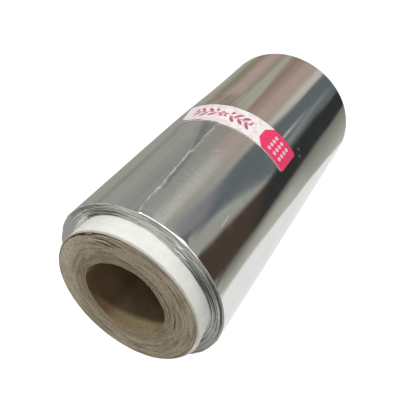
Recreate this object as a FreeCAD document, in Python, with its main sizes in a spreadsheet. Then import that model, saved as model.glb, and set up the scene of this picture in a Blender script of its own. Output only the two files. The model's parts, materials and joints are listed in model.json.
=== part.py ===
"""A hairdresser's aluminium foil roll, standing on one end of its cardboard core.

The core is a thick tube of glued board plies with a white paper ply round it. The foil is wound on it
as one long web, and a paper seal holds the web's free edge down. The axis is +Z and the origin is the
middle of the core's lower end. Lengths are in millimetres and angles in degrees.
"""

import FreeCAD, Part

import os

import Sketcher

SIZES = {
    "bore_diameter": 29.2,
    "core_wall": 10.7,
    "core_overhang": 7.4,
    "liner_thickness": 0.3,
    "web_width": 120.0,
    "winding_depth": 5.0,
    "free_edge_step": 0.3,
    "free_edge_angle": -60.0,
    "ply_thickness": 1.8,
    "ply_seam_width": 0.3,
    "ply_seam_depth": 0.25,
    "turn_pitch": 1.0,
    "turn_seam_width": 0.36,
    "turn_seam_depth": 0.35,
    "label_length": 46.0,
    "label_width": 12.5,
    "label_thickness": 0.12,
    "label_past_edge": 29.0,
    "label_bridge": 3.0,
    "label_corner": 1.2,
}

# A last ply thinner than this share of the others shows no seam
LEAST_PLY_SHARE = 0.5

# Two lengths nearer to each other than this are the same
SAME_LENGTH = 1e-6

# Radii and lengths that several pieces share, as expressions on the sheet
BORE_RADIUS = "(Sizes.bore_diameter / 2)"
BOARD_RADIUS = f"({BORE_RADIUS} + Sizes.core_wall)"
LINER_RADIUS = f"({BOARD_RADIUS} + Sizes.liner_thickness)"
WEB_RADIUS = f"({LINER_RADIUS} + Sizes.winding_depth)"
CORE_LENGTH = "(Sizes.web_width + 2 * Sizes.core_overhang)"

# The web's outline is two half circles, the second smaller and off centre, so that they meet in a step
HALF_STEP = "(Sizes.free_edge_step / 2)"
SMALL_RADIUS = f"({WEB_RADIUS} - {HALF_STEP})"


def make_sheet(doc):
    """The driving dimensions, one named cell each."""
    sheet = doc.addObject("Spreadsheet::Sheet", "Sizes")
    for row, (name, value) in enumerate(SIZES.items(), start=1):
        sheet.set(f"A{row}", name)
        sheet.set(f"B{row}", str(value))
        sheet.setAlias(f"B{row}", name)
    doc.recompute()
    return sheet


def make_body(doc, label):
    body = doc.addObject("PartDesign::Body", label)
    body.Label = label
    return body


def make_sketch(body, name, role):
    """A sketch on the one of the body's own origin planes that has this role."""
    plane = next(feature for feature in body.Origin.OriginFeatures if feature.Role == role)
    sketch = body.newObject("Sketcher::SketchObject", name)
    sketch.AttachmentSupport = (plane, [""])
    sketch.MapMode = "FlatFace"
    return sketch


def value_of(sketch, expression):
    """What an expression on the sheet comes to, as a plain number."""
    result = sketch.evalExpression(expression)
    return float(getattr(result, "Value", result))


def bind(sketch, kind, geometry, expression):
    """Adds a constraint of this kind and ties its value to an expression on the sheet."""
    index = sketch.addConstraint(Sketcher.Constraint(kind, *geometry, value_of(sketch, expression)))
    sketch.setExpression(f"Constraints[{index}]", expression)


def place_point(sketch, point, across, along):
    """Ties a point of the sketch, given as (edge, end), to two expressions."""
    bind(sketch, "DistanceX", (-1, 1, *point), across)
    bind(sketch, "DistanceY", (-1, 1, *point), along)


def add_circle(sketch, radius):
    """A circle round the sketch's origin."""
    shape = Part.Circle(FreeCAD.Vector(0, 0, 0), FreeCAD.Vector(0, 0, 1), value_of(sketch, radius))
    circle = sketch.addGeometry(shape)
    sketch.addConstraint(Sketcher.Constraint("Coincident", circle, 3, -1, 1))
    bind(sketch, "Radius", (circle,), radius)
    return circle


def add_arc(sketch, centre, radius, start, stop):
    """An arc about (centre, 0), anticlockwise between two angles in radians, all of them expressions."""
    middle = FreeCAD.Vector(value_of(sketch, centre), 0, 0)
    circle = Part.Circle(middle, FreeCAD.Vector(0, 0, 1), value_of(sketch, radius))
    arc = sketch.addGeometry(Part.ArcOfCircle(circle, value_of(sketch, start), value_of(sketch, stop)))
    place_point(sketch, (arc, 3), centre, "0")
    bind(sketch, "Radius", (arc,), radius)
    return arc


def join(sketch, point, other):
    """A straight edge between two points of the sketch, each given as (edge, end)."""
    edge = sketch.addGeometry(Part.LineSegment(sketch.getPoint(*point), sketch.getPoint(*other)))
    sketch.addConstraint(Sketcher.Constraint("Coincident", edge, 1, *point))
    sketch.addConstraint(Sketcher.Constraint("Coincident", edge, 2, *other))
    return edge


def add_seam(sketch, radius, face, inward, width, depth):
    """A V notch in an end face: its middle at a radius, its point on the side that inward gives, + or -."""
    corners = [
        (f"{radius} - {width} / 2", face),
        (f"{radius} + {width} / 2", face),
        (radius, f"{face} {inward} {depth}"),
    ]
    points = [FreeCAD.Vector(value_of(sketch, x), value_of(sketch, y), 0) for x, y in corners]
    edges = [
        sketch.addGeometry(Part.LineSegment(points[0], points[1])),
        sketch.addGeometry(Part.LineSegment(points[1], points[2])),
        sketch.addGeometry(Part.LineSegment(points[2], points[0])),
    ]
    for edge, following in zip(edges, edges[1:] + edges[:1]):
        sketch.addConstraint(Sketcher.Constraint("Coincident", edge, 2, following, 1))
    for edge, (across, along) in zip(edges, corners):
        place_point(sketch, (edge, 1), across, along)


def pad(body, sketch, name, length):
    feature = body.newObject("PartDesign::Pad", name)
    feature.Profile = sketch
    feature.setExpression("Length", length)
    body.Document.recompute()
    return feature


def groove(body, sketch, name, axis, angle, backwards=False):
    """Cuts a sketch round one of its own lines, and stops if nothing was cut."""
    before = body.Shape.Volume
    feature = body.newObject("PartDesign::Groove", name)
    feature.Profile = sketch
    feature.ReferenceAxis = (sketch, [axis])
    feature.Angle = angle
    feature.Reversed = backwards
    body.Document.recompute()
    if not body.Shape.Volume < before:
        raise RuntimeError(f"{name} cut nothing")
    return feature


def stand(body, sheet, height):
    """Puts a body that is drawn with the web's free edge along +X at its height and turn on the core."""
    body.setExpression("Placement.Base.z", height)
    body.Placement.Rotation = FreeCAD.Rotation(FreeCAD.Vector(0, 0, 1), sheet.free_edge_angle)
    body.setExpression("Placement.Rotation.Angle", "Sizes.free_edge_angle")


def make_core_tube(doc, sheet):
    """The board tube. Each ply's edge shows on both end faces as a fine seam between it and the next."""
    body = make_body(doc, "core_tube")
    section = make_sketch(body, "core_section", "XY_Plane")
    add_circle(section, BORE_RADIUS)
    add_circle(section, BOARD_RADIUS)
    pad(body, section, "core_length", CORE_LENGTH)

    seams = make_sketch(body, "ply_seams", "XZ_Plane")
    count = int(sheet.core_wall / sheet.ply_thickness - LEAST_PLY_SHARE)
    for ply in range(1, count + 1):
        radius = f"{BORE_RADIUS} + {ply} * Sizes.ply_thickness"
        add_seam(seams, radius, CORE_LENGTH, "-", "Sizes.ply_seam_width", "Sizes.ply_seam_depth")
        add_seam(seams, radius, "0", "+", "Sizes.ply_seam_width", "Sizes.ply_seam_depth")
    if count:
        groove(body, seams, "ply_seams_cut", "V_Axis", 360.0)
    return body


def make_core_liner(doc):
    """The white paper ply that is glued round the board tube."""
    body = make_body(doc, "core_liner")
    section = make_sketch(body, "liner_section", "XY_Plane")
    add_circle(section, BOARD_RADIUS)
    add_circle(section, LINER_RADIUS)
    pad(body, section, "liner_length", CORE_LENGTH)
    return body


def cut_turn_seams(body, name, sheet, first, centre, backwards):
    """Half of the spiral seam between the turns, on both end faces: the half turns about one centre.

    The first half turn starts that many pitches in from the outside. The centre is across from the axis.
    """
    seams = make_sketch(body, name, "XZ_Plane")
    count = int((sheet.winding_depth - sheet.turn_seam_width) / sheet.turn_pitch) - 1
    for turn in range(count):
        radius = f"{WEB_RADIUS} - {turn + first} * Sizes.turn_pitch"
        add_seam(seams, radius, "Sizes.web_width", "-", "Sizes.turn_seam_width", "Sizes.turn_seam_depth")
        add_seam(seams, radius, "0", "+", "Sizes.turn_seam_width", "Sizes.turn_seam_depth")
    line = Part.LineSegment(FreeCAD.Vector(0, 0, 0), FreeCAD.Vector(0, sheet.web_width, 0))
    axis = seams.addGeometry(line, True)
    place_point(seams, (axis, 1), centre, "0")
    place_point(seams, (axis, 2), centre, "Sizes.web_width")
    if count > 0:
        groove(body, seams, f"{name}_cut", "Axis0", 180.0, backwards)


def make_foil_web(doc, sheet):
    """The wound web as one solid. Its outer turn ends in a step, and its turns show at both ends."""
    body = make_body(doc, "foil_web")
    section = make_sketch(body, "web_section", "XY_Plane")
    add_circle(section, LINER_RADIUS)
    large = add_arc(section, "0", WEB_RADIUS, "pi", "2 * pi")
    small = add_arc(section, f"-{HALF_STEP}", SMALL_RADIUS, "0", "pi")
    for arc in (large, small):
        for end in (1, 2):
            section.addConstraint(Sketcher.Constraint("PointOnObject", arc, end, -1))
    join(section, (large, 2), (small, 1))
    pad(body, section, "web_width", "Sizes.web_width")

    cut_turn_seams(body, "large_half_turns", sheet, 1, "0", False)
    cut_turn_seams(body, "small_half_turns", sheet, 2, "-Sizes.turn_pitch / 2", True)
    stand(body, sheet, "Sizes.core_overhang")
    return body


def make_seal_label(doc, sheet):
    """The paper seal. It lies on the outer turn, bridges the free edge's step and lies on the turn below."""
    body = make_body(doc, "seal_label")
    section = make_sketch(body, "label_section", "XY_Plane")
    past_edge = f"-Sizes.label_past_edge / {WEB_RADIUS}"
    bridge = f"Sizes.label_bridge / {SMALL_RADIUS}"
    far_end = f"(Sizes.label_length - Sizes.label_past_edge) / {SMALL_RADIUS}"
    arcs = []
    for lift in ("", " + Sizes.label_thickness"):
        large = add_arc(section, "0", WEB_RADIUS + lift, past_edge, "0")
        small = add_arc(section, f"-{HALF_STEP}", SMALL_RADIUS + lift, bridge, far_end)
        bind(section, "DistanceY", (-1, 1, large, 1), f"({WEB_RADIUS}{lift}) * sin({past_edge} * 1 rad)")
        section.addConstraint(Sketcher.Constraint("PointOnObject", large, 2, -1))
        bind(section, "DistanceY", (-1, 1, small, 1), f"({SMALL_RADIUS}{lift}) * sin({bridge} * 1 rad)")
        across = f"({SMALL_RADIUS}{lift}) * cos({far_end} * 1 rad) - {HALF_STEP}"
        bind(section, "DistanceX", (-1, 1, small, 2), across)
        join(section, (large, 2), (small, 1))
        arcs.append((large, small))
    (inner_large, inner_small), (outer_large, outer_small) = arcs
    join(section, (inner_large, 1), (outer_large, 1))
    join(section, (inner_small, 2), (outer_small, 2))
    strip = pad(body, section, "label_width", "Sizes.label_width")
    round_corners(body, strip, sheet.label_thickness)
    stand(body, sheet, "Sizes.core_overhang + Sizes.web_width / 2 - Sizes.label_width / 2")
    return body


def round_corners(body, strip, thickness):
    """Rounds the label's four corners: the straight edges that are as long as the paper is thick."""
    edges = [
        f"Edge{number}"
        for number, edge in enumerate(strip.Shape.Edges, start=1)
        if edge.Curve.TypeId == "Part::GeomLine" and abs(edge.Length - thickness) < SAME_LENGTH
    ]
    corners = body.newObject("PartDesign::Fillet", "label_corners")
    corners.Base = (strip, edges)
    corners.setExpression("Radius", "Sizes.label_corner")
    body.Document.recompute()


def check(doc, bodies):
    """Stops if any object failed or any piece isn't one valid solid."""
    for item in doc.Objects:
        if "Invalid" in item.State or "Error" in item.State:
            raise RuntimeError(f"{item.Name} failed: {item.State}")
    for body in bodies:
        shape = body.Shape
        if shape.isNull() or not shape.isValid() or len(shape.Solids) != 1:
            raise RuntimeError(f"{body.Label} isn't one valid solid")


def main():
    doc = FreeCAD.newDocument("foil_roll")
    sheet = make_sheet(doc)
    bodies = [
        make_core_tube(doc, sheet),
        make_core_liner(doc),
        make_foil_web(doc, sheet),
        make_seal_label(doc, sheet),
    ]
    doc.recompute()
    check(doc, bodies)
    os.makedirs("parts", exist_ok=True)
    for body in bodies:
        body.Shape.exportStep(f"parts/{body.Label}.step")
        box = body.Shape.BoundBox
        print(f"{body.Label}: volume {body.Shape.Volume:.1f} mm3, z {box.ZMin:.2f} to {box.ZMax:.2f}")


main()
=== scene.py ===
import json

import bpy
import numpy as np
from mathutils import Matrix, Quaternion, Vector


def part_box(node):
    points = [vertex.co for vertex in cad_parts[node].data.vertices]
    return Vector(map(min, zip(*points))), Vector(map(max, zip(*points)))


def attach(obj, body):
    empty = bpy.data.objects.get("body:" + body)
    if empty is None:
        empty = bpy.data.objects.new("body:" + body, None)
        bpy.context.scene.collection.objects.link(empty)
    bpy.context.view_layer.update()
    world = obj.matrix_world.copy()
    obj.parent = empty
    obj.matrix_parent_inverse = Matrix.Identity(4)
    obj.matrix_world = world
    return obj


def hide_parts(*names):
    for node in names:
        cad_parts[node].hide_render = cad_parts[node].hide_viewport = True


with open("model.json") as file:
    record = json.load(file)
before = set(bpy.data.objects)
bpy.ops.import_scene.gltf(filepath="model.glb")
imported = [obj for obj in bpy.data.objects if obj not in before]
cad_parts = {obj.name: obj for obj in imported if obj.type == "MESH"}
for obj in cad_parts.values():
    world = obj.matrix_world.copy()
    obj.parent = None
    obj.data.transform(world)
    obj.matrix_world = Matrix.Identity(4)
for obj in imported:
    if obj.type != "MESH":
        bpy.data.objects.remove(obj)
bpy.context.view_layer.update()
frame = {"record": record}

MM = 0.001


# The camera looks down on the standing roll from in front and above. It is rolled about its own view,
# because the roll of the photograph lies on its side with its upper end towards the lower left.
CAMERA_PLACE = Vector((0.0, -142.4, 215.5)) * MM
CAMERA_AIM = Vector((2.8, 0.0, 82.6)) * MM
CAMERA_ROLL = np.radians(-138.5)
LENS = 46.85
SENSOR = 36.0

camera = bpy.data.objects.new("camera", bpy.data.cameras.new("camera"))
bpy.context.scene.collection.objects.link(camera)
bpy.context.scene.camera = camera
camera.data.lens = LENS
camera.data.sensor_width = SENSOR
camera.data.clip_start = 5 * MM
camera.data.clip_end = 20.0
camera.location = CAMERA_PLACE
camera.rotation_mode = "QUATERNION"
level_turn = (CAMERA_AIM - CAMERA_PLACE).to_track_quat("-Z", "Y")
camera.rotation_quaternion = level_turn @ Quaternion((0, 0, 1), CAMERA_ROLL)


# The studio: a pale floor and backdrop, a soft lamp low over the upper end, and walls that are seen only in
# the foil. They hold strips and boards of grey, black and white, as round any shiny thing in a studio.
# Places on the roll are given as a turn, in degrees to the right of the side nearest to the camera, and a
# drop below the foil's upper rim in mm.
FLOOR_SIZE = 6.0
FLOOR_WHITE = (0.80, 0.80, 0.80, 1.0)
FLOOR_GLOW = 0.66
BACKDROP_WHITE = (1.0, 1.0, 1.0, 1.0)
ROOM_LIGHT = 0.42
ROOM_SLOPE = 0.34
ROOM_BRIGHT_AT = Vector((-0.70, -0.60, 0.37))
LAMP_TURN = -42.0
LAMP_HEIGHT = 10.8
LAMP_DISTANCE = 1.4
LAMP_SIZE = 0.10
LAMP_POWER = 10.5
FOIL_TINT = (0.88, 0.88, 0.87)

web_low, web_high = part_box("foil_web")
RIM = web_high.z
WEB_RADIUS = -web_low.x
WEB_WIDTH = web_high.z - web_low.z


def linear(red, green, blue):
    """The scene's colour for one that shows on screen as these three values of up to 255."""
    shown = np.array((red, green, blue)) / 255
    return tuple(np.where(shown > 0.04045, ((shown + 0.055) / 1.055) ** 2.4, shown / 12.92)) + (1.0,)


def add_node(tree, kind, inputs=(), **settings):
    """Adds a node, sets its properties, and fills its inputs from {name or number: socket or value}."""
    node = tree.nodes.new(kind)
    for name, value in settings.items():
        setattr(node, name, value)
    for key, value in dict(inputs).items():
        if isinstance(value, bpy.types.NodeSocket):
            tree.links.new(value, node.inputs[key])
        else:
            node.inputs[key].default_value = value
    return node


def maths(tree, operation, *values):
    """One step of arithmetic on sockets or numbers."""
    return add_node(tree, "ShaderNodeMath", enumerate(values), operation=operation).outputs[0]


def ease(tree, value, start, stop):
    """A mask that goes smoothly from 0 where value is start to 1 where it is stop."""
    inputs = {"Value": value, "From Min": start, "From Max": stop}
    node = add_node(tree, "ShaderNodeMapRange", inputs, interpolation_type="SMOOTHSTEP")
    return node.outputs["Result"]


def mix_colour(tree, mask, first, second):
    """The first colour where the mask is 0 and the second where it is 1."""
    node = add_node(tree, "ShaderNodeMix", {0: mask, 6: first, 7: second}, data_type="RGBA")
    return node.outputs[2]


def ramp(tree, value, stops):
    """A colour for a value, from (value, colour) stops between 0 and 1."""
    node = add_node(tree, "ShaderNodeValToRGB", {"Fac": value})
    elements = node.color_ramp.elements
    elements[0].position, elements[0].color = stops[0]
    elements[1].position, elements[1].color = stops[-1]
    for position, colour in stops[1:-1]:
        elements.new(position).color = colour
    return node.outputs["Color"]


def noise(tree, place, scale, detail, **inputs):
    """A noise texture's value, about 0.3 to 0.7."""
    inputs = {"Vector": place, "Scale": scale, "Detail": detail, **inputs}
    return add_node(tree, "ShaderNodeTexNoise", inputs).outputs["Fac"]


def mirrored(turn, drop):
    """Heading and dip, in degrees, of the camera's ray after the foil's wall has mirrored it at a place."""
    outwards = np.array((-np.sin(np.radians(turn)), -np.cos(np.radians(turn)), 0.0))
    place = WEB_RADIUS * outwards + np.array((0.0, 0.0, RIM - drop * MM))
    ray = place - np.array(CAMERA_PLACE)
    ray = ray / np.linalg.norm(ray)
    ray = ray - 2 * (ray @ outwards) * outwards
    return np.degrees(np.arctan2(-ray[0], -ray[1])), -np.degrees(np.arcsin(ray[2]))


def on_foil(red, green, blue):
    """The light that a wall must give off for the foil to show this colour."""
    return tuple(np.array(linear(red, green, blue)[:3]) / np.array(FOIL_TINT)) + (1.0,)


# What each stretch of the foil mirrors above the seal, and below it, as (turn, colour)
SIDE_GREY = on_foil(152, 152, 145)
OLIVE_GREY = on_foil(148, 149, 137)
NEUTRAL_GREY = on_foil(147, 147, 141)
MID_GREY = on_foil(137, 138, 132)
DARK_LINE = on_foil(125, 126, 119)
PALE_GREY = on_foil(172, 171, 166)
OCHRE = on_foil(126, 113, 93)
OCHRE_GREY = on_foil(142, 131, 113)
ROSE_GREY = on_foil(164, 147, 136)
ROSE_BROWN = on_foil(136, 116, 105)
PALE = on_foil(184, 181, 171)
MOSS_DARK = on_foil(118, 118, 109)
MOSS = on_foil(152, 152, 142)
MOSS_PALE = on_foil(167, 167, 159)
MOSS_LOW = on_foil(140, 140, 129)
MOSS_HIGH = on_foil(153, 152, 141)
UPPER_STRIPS = (
    (-82, SIDE_GREY), (-72, OLIVE_GREY), (-55, OLIVE_GREY), (-53, DARK_LINE), (-52, DARK_LINE),
    (-50, NEUTRAL_GREY), (-42, NEUTRAL_GREY), (-35, MID_GREY), (-23, MID_GREY), (-18, NEUTRAL_GREY),
    (-14.5, PALE_GREY), (-11, PALE_GREY), (-8, MOSS), (-3, NEUTRAL_GREY), (14, NEUTRAL_GREY), (35, MOSS_DARK),
    (37.5, MOSS), (42, MOSS_PALE),
)
LOWER_STRIPS = (
    (-82, MOSS_PALE), (-73, MOSS_PALE), (-67, SIDE_GREY), (-60, OLIVE_GREY), (-56, OCHRE_GREY), (-52, OCHRE),
    (-48.5, OCHRE_GREY), (-44, ROSE_GREY), (-37, ROSE_GREY), (-33, OCHRE_GREY), (-26, OCHRE_GREY),
    (-20, ROSE_BROWN), (-12, ROSE_GREY), (-5, ROSE_GREY), (-2.5, PALE), (3, PALE), (35.5, MOSS_DARK),
    (44, MOSS_LOW), (52, MOSS_HIGH), (60, MOSS_PALE),
)
UPPER_DROP = 13
LOWER_DROP = 94
STRIPS_MEET = (40, 66)

# Boards in front of the strips: a colour, how soft its edges are in degrees, and its left and right edges
# as (turn, drop) points from the upper rim down. Where the edges cross, the board ends.
SLATE = on_foil(91, 98, 100)
SMOKE = on_foil(128, 130, 127)
UMBER = on_foil(68, 57, 49)
SOOT = on_foil(44, 47, 46)
GREEN_GREY = on_foil(160, 157, 145)
PINK_GREY = on_foil(158, 146, 138)
VEIL = on_foil(123, 122, 124)
STREAK = on_foil(163, 165, 155)
GLEAM = on_foil(182, 182, 177)
WHITE = on_foil(221, 221, 219)
BRIGHT = on_foil(226, 226, 225)
BOARDS = (
    (
        GREEN_GREY,
        1.5,
        ((-18, 60), (-30, 66), (-30.5, 118)),
        ((-21, 66), (-22.3, 85), (-24.3, 100), (-25.5, 118)),
    ),
    (PINK_GREY, 3, ((-5, 32), (-19, 40), (-19, 53), (-5, 62)), ((-9, 32), (-6.5, 40), (-6.5, 53), (-9, 62))),
    (
        VEIL,
        3,
        ((-8, 0), (-5, 10), (-3, 20), (-2.6, 30), (-2.4, 48), (4, 57)),
        ((6.2, 0), (6.3, 8), (7.4, 17), (9.4, 23), (11.6, 28), (12, 48), (4, 56)),
    ),
    (
        SLATE,
        3,
        ((9, 0), (6.0, 8), (3.9, 15), (0.9, 22), (-1.4, 30), (-2.4, 45), (-1.4, 60), (1, 80), (2.3, 118)),
        (
            (4, 0), (6.4, 8), (7.6, 17), (9.6, 23), (11.8, 28), (14.6, 34), (17, 39), (19.2, 45), (26, 52),
            (30, 118),
        ),
    ),
    (
        STREAK,
        0.9,
        ((8.5, 15), (9.8, 22), (12, 28), (14.8, 34), (17.2, 39), (19.4, 46)),
        ((8.5, 15), (11.5, 22), (14.5, 28), (17.4, 34), (18.8, 39), (19.4, 46)),
    ),
    (GLEAM, 1, ((11, 60), (9.3, 66), (10.4, 80), (13, 92)), ((9, 60), (11, 66), (11.3, 80), (12, 92))),
    (
        SMOKE,
        2,
        ((15, 60), (13.2, 66), (12.6, 90), (12.2, 106), (15, 114)),
        ((15, 60), (16.8, 66), (16, 85), (14.2, 103), (13, 114)),
    ),
    (UMBER, 4, ((15.3, 0), (15.7, 15), (18, 25), (19.5, 35), (20.8, 45), (21, 118)), ((33.2, 0), (33.6, 118))),
    (
        SOOT,
        4.5,
        ((38, 18), (33, 25), (27, 33), (22.5, 43), (20, 52), (18.6, 70), (19.2, 85), (20.5, 118)),
        ((33.2, 0), (33.6, 118)),
    ),
    (
        WHITE,
        2.5,
        ((41.2, 0), (42, 13), (45.3, 39), (49.8, 62), (54, 83), (61.5, 105), (66, 118)),
        ((80, 0), (80, 118)),
    ),
    (BRIGHT, 6, ((69.5, 0), (70, 118)), ((80, 0), (80, 118))),
)
CEILING_DARK = (0.34, 0.34, 0.32, 1.0)
CEILING_BRIGHT = (1.30, 1.30, 1.30, 1.0)
CEILING_LIGHT_AT = Vector((0.10, -0.80, 0.59))
UNDERSIDE = (0.09, 0.09, 0.09, 1.0)
# How far the walls' edges waver, in degrees, and how uneven the walls are
WAVER = 5.0
STREAKS = 0.2


def heading_stops(strips, drop):
    """Strips given by turn, as stops of a ramp over the headings from -180 to 180 degrees."""
    return [(mirrored(turn, drop)[0] / 360 + 0.5, colour) for turn, colour in strips]


def edge_curve(tree, dip, points):
    """The heading of a board's edge at a dip: a smooth curve through places given by turn and drop."""
    curve = add_node(tree, "ShaderNodeFloatCurve", {"Value": maths(tree, "DIVIDE", dip, 90.0)})
    places = sorted((mirrored(*place)[1] / 90, mirrored(*place)[0] / 360 + 0.5) for place in points)
    dots = curve.mapping.curves[0].points
    dots[0].location, dots[1].location = places[0], places[-1]
    for place in places[1:-1]:
        dots.new(*place)
    for dot in dots:
        dot.handle_type = "AUTO_CLAMPED"
    curve.mapping.update()
    return maths(tree, "MULTIPLY_ADD", curve.outputs[0], 360.0, -180.0)


world = bpy.data.worlds.new("studio")
bpy.context.scene.world = world
world.use_nodes = True
room = world.node_tree
room.nodes.clear()
direction = add_node(room, "ShaderNodeTexCoord").outputs["Generated"]
parts = add_node(room, "ShaderNodeSeparateXYZ", {0: direction})
leftwards, nearwards, downwards = (maths(room, "MULTIPLY", output, -1) for output in parts.outputs)
heading = maths(room, "DEGREES", maths(room, "ARCTAN2", leftwards, nearwards))
dip = maths(room, "DEGREES", maths(room, "ARCSINE", downwards))


def towards(place):
    """How much a direction points to a place: the cosine of the angle between them."""
    inputs = {0: direction, 1: place}
    return add_node(room, "ShaderNodeVectorMath", inputs, operation="DOT_PRODUCT").outputs["Value"]


def wall_noise(along, down, detail):
    """Noise over the walls, with this many features a degree of heading and of dip."""
    spot = {0: maths(room, "MULTIPLY", heading, along), 1: maths(room, "MULTIPLY", dip, down)}
    place = add_node(room, "ShaderNodeCombineXYZ", spot).outputs[0]
    return noise(room, place, 1.0, detail)


waver = maths(room, "SUBTRACT", wall_noise(0.02, 0.09, 2.0), 0.5)
heading = maths(room, "MULTIPLY_ADD", waver, WAVER, heading)
streaks = wall_noise(0.16, 0.02, 3.0)
share = maths(room, "MULTIPLY_ADD", heading, 1 / 360, 0.5)
mirrored_walls = mix_colour(
    room,
    ease(room, dip, mirrored(0, STRIPS_MEET[0])[1], mirrored(0, STRIPS_MEET[1])[1]),
    ramp(room, share, heading_stops(UPPER_STRIPS, UPPER_DROP)),
    ramp(room, share, heading_stops(LOWER_STRIPS, LOWER_DROP)),
)
for colour, soft, left_edge, right_edge in BOARDS:
    past_left = maths(room, "SUBTRACT", heading, edge_curve(room, dip, left_edge))
    before_right = maths(room, "SUBTRACT", edge_curve(room, dip, right_edge), heading)
    nearest = maths(room, "MINIMUM", past_left, before_right)
    mirrored_walls = mix_colour(room, ease(room, nearest, -soft, soft), mirrored_walls, colour)
unevenness = maths(room, "MULTIPLY_ADD", maths(room, "SUBTRACT", streaks, 0.5), 2 * STREAKS, 1.0)
inputs = {0: mirrored_walls, "Scale": unevenness}
uneven_walls = add_node(room, "ShaderNodeVectorMath", inputs, operation="SCALE")
to_light = towards(CEILING_LIGHT_AT)
ceiling = mix_colour(room, ease(room, to_light, 0.55, 0.90), CEILING_DARK, CEILING_BRIGHT)
mirrored_walls = mix_colour(room, ease(room, dip, 20, -5), uneven_walls.outputs[0], ceiling)
mirrored_walls = mix_colour(room, ease(room, dip, 64, 74), mirrored_walls, UNDERSIDE)
path = add_node(room, "ShaderNodeLightPath")
plain = maths(room, "MULTIPLY_ADD", towards(ROOM_BRIGHT_AT), ROOM_SLOPE, ROOM_LIGHT)
seen = mix_colour(room, path.outputs["Is Glossy Ray"], plain, mirrored_walls)
seen = mix_colour(room, path.outputs["Is Camera Ray"], seen, BACKDROP_WHITE)
background = add_node(room, "ShaderNodeBackground", {"Color": seen})
add_node(room, "ShaderNodeOutputWorld", {"Surface": background.outputs[0]})


def new_material(name):
    """A material with only its output node, and its node tree."""
    material = bpy.data.materials.new(name)
    material.use_nodes = True
    material.node_tree.nodes.clear()
    return material, material.node_tree


floor_mesh = bpy.data.meshes.new("floor")
half = FLOOR_SIZE / 2
floor_corners = [(-half, -half, 0), (half, -half, 0), (half, half, 0), (-half, half, 0)]
floor_mesh.from_pydata(floor_corners, [], [(0, 1, 2, 3)])
floor = bpy.data.objects.new("floor", floor_mesh)
bpy.context.scene.collection.objects.link(floor)
floor.visible_glossy = False
floor.visible_diffuse = False
floor_material, tree = new_material("pale_floor")
inputs = {
    "Base Color": FLOOR_WHITE,
    "Roughness": 0.9,
    "Specular IOR Level": 0.0,
    "Emission Color": (1.0, 1.0, 1.0, 1.0),
    "Emission Strength": FLOOR_GLOW,
}
shader = add_node(tree, "ShaderNodeBsdfPrincipled", inputs)
add_node(tree, "ShaderNodeOutputMaterial", {"Surface": shader.outputs[0]})
floor_mesh.materials.append(floor_material)

lamp = bpy.data.objects.new("lamp", bpy.data.lights.new("lamp", "AREA"))
bpy.context.scene.collection.objects.link(lamp)
lamp.data.size = LAMP_SIZE
lamp.data.energy = LAMP_POWER
lamp_turn, lamp_height = np.radians(LAMP_TURN), np.radians(LAMP_HEIGHT)
lamp_side = Vector((-np.sin(lamp_turn), -np.cos(lamp_turn), 0.0))
lamp_from = lamp_side * np.cos(lamp_height) + Vector((0.0, 0.0, np.sin(lamp_height)))
lamp.location = Vector((0, 0, RIM)) + LAMP_DISTANCE * lamp_from
lamp.rotation_mode = "QUATERNION"
lamp.rotation_quaternion = lamp_from.to_track_quat("Z", "Y")

bpy.context.scene.view_settings.view_transform = "Standard"


# The core is a thick tube wound from strips of grey-brown board and glued. Its ends are sawn off square,
# which leaves the plies' edges showing as rough rings, fluffed at the bore and split near the outside.
BORE_RADIUS = frame["record"]["mounts"][0]["dims"]["r_mm"] * MM
BOARD_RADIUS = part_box("core_tube")[1].x
CORE_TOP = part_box("core_tube")[1].z
ROUND_STEPS = 480
FACE_STEPS = 60
BORE_STEPS = 26
PLY_COUNT = 13
PLY_SEAM = 0.12 * MM
FACE_BELOW = 0.12 * MM
BORE_EDGE = 0.22 * MM
OUTER_EDGE = 0.45 * MM
# How far the bore's upper edge is torn inwards or outwards, in mm, by turn in degrees
TORN_TURNS = (-180, -155, -110, -90, -78, -60, -50, -40, -20, -5, 12, 30, 50, 70, 90, 125, 155, 180)
TORN = (
    0.45, 0.15, 0.15, 0.1, -0.45, -0.6, -0.85, -0.5, -0.45, 0.0, -0.05, -0.45, -0.1, -0.35, -0.3, 0.0,
    0.4, 0.45,
)
# Splits between plies: from and to turn in degrees, then first and last radius, half width and depth in mm
SPLITS = (
    (-77, -57, 25.0, 24.75, 0.26, 1.0),
    (-66, -48, 24.5, 24.35, 0.17, 0.7),
    (-52, -36, 24.95, 24.75, 0.22, 0.8),
    (-34, -20, 24.9, 24.75, 0.14, 0.4),
    (-50, -38, 23.1, 22.7, 0.24, 0.6),
    (-41, -26, 22.5, 21.6, 0.26, 0.7),
    (-52, -40, 21.9, 21.5, 0.18, 0.4),
    (-46, -33, 21.4, 20.6, 0.17, 0.4),
    (16, 46, 21.7, 20.9, 0.13, 0.35),
    (48, 76, 18.1, 17.7, 0.13, 0.4),
    (-40, 66, 16.9, 16.5, 0.13, 0.3),
)


def ripple(turn, along, seed, lobes, shortest, count=18):
    """Smooth unevenness of about -1 to 1: a sum of cosine waves. Each wave has a whole number of lobes
    round the turn, so that it closes, and its own wavelength along, from shortest to four times that."""
    random = np.random.default_rng(seed)
    total = np.zeros(np.broadcast(turn, along).shape)
    for lobe in random.integers(0, lobes + 1, count):
        pitch = shortest * random.uniform(1, 4)
        total += np.cos(lobe * turn + 2 * np.pi * (along / pitch + random.random()))
    return total / np.sqrt(count)


def bell(value, middle, width):
    """A bell curve: 1 at the middle and about a third one width away."""
    return np.exp(-(((value - middle) / width) ** 2))


def smooth(value, start, stop):
    """0 at start, 1 at stop, and a smooth rise or fall between."""
    share = np.clip((value - start) / (stop - start), 0, 1)
    return share * share * (3 - 2 * share)


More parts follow.
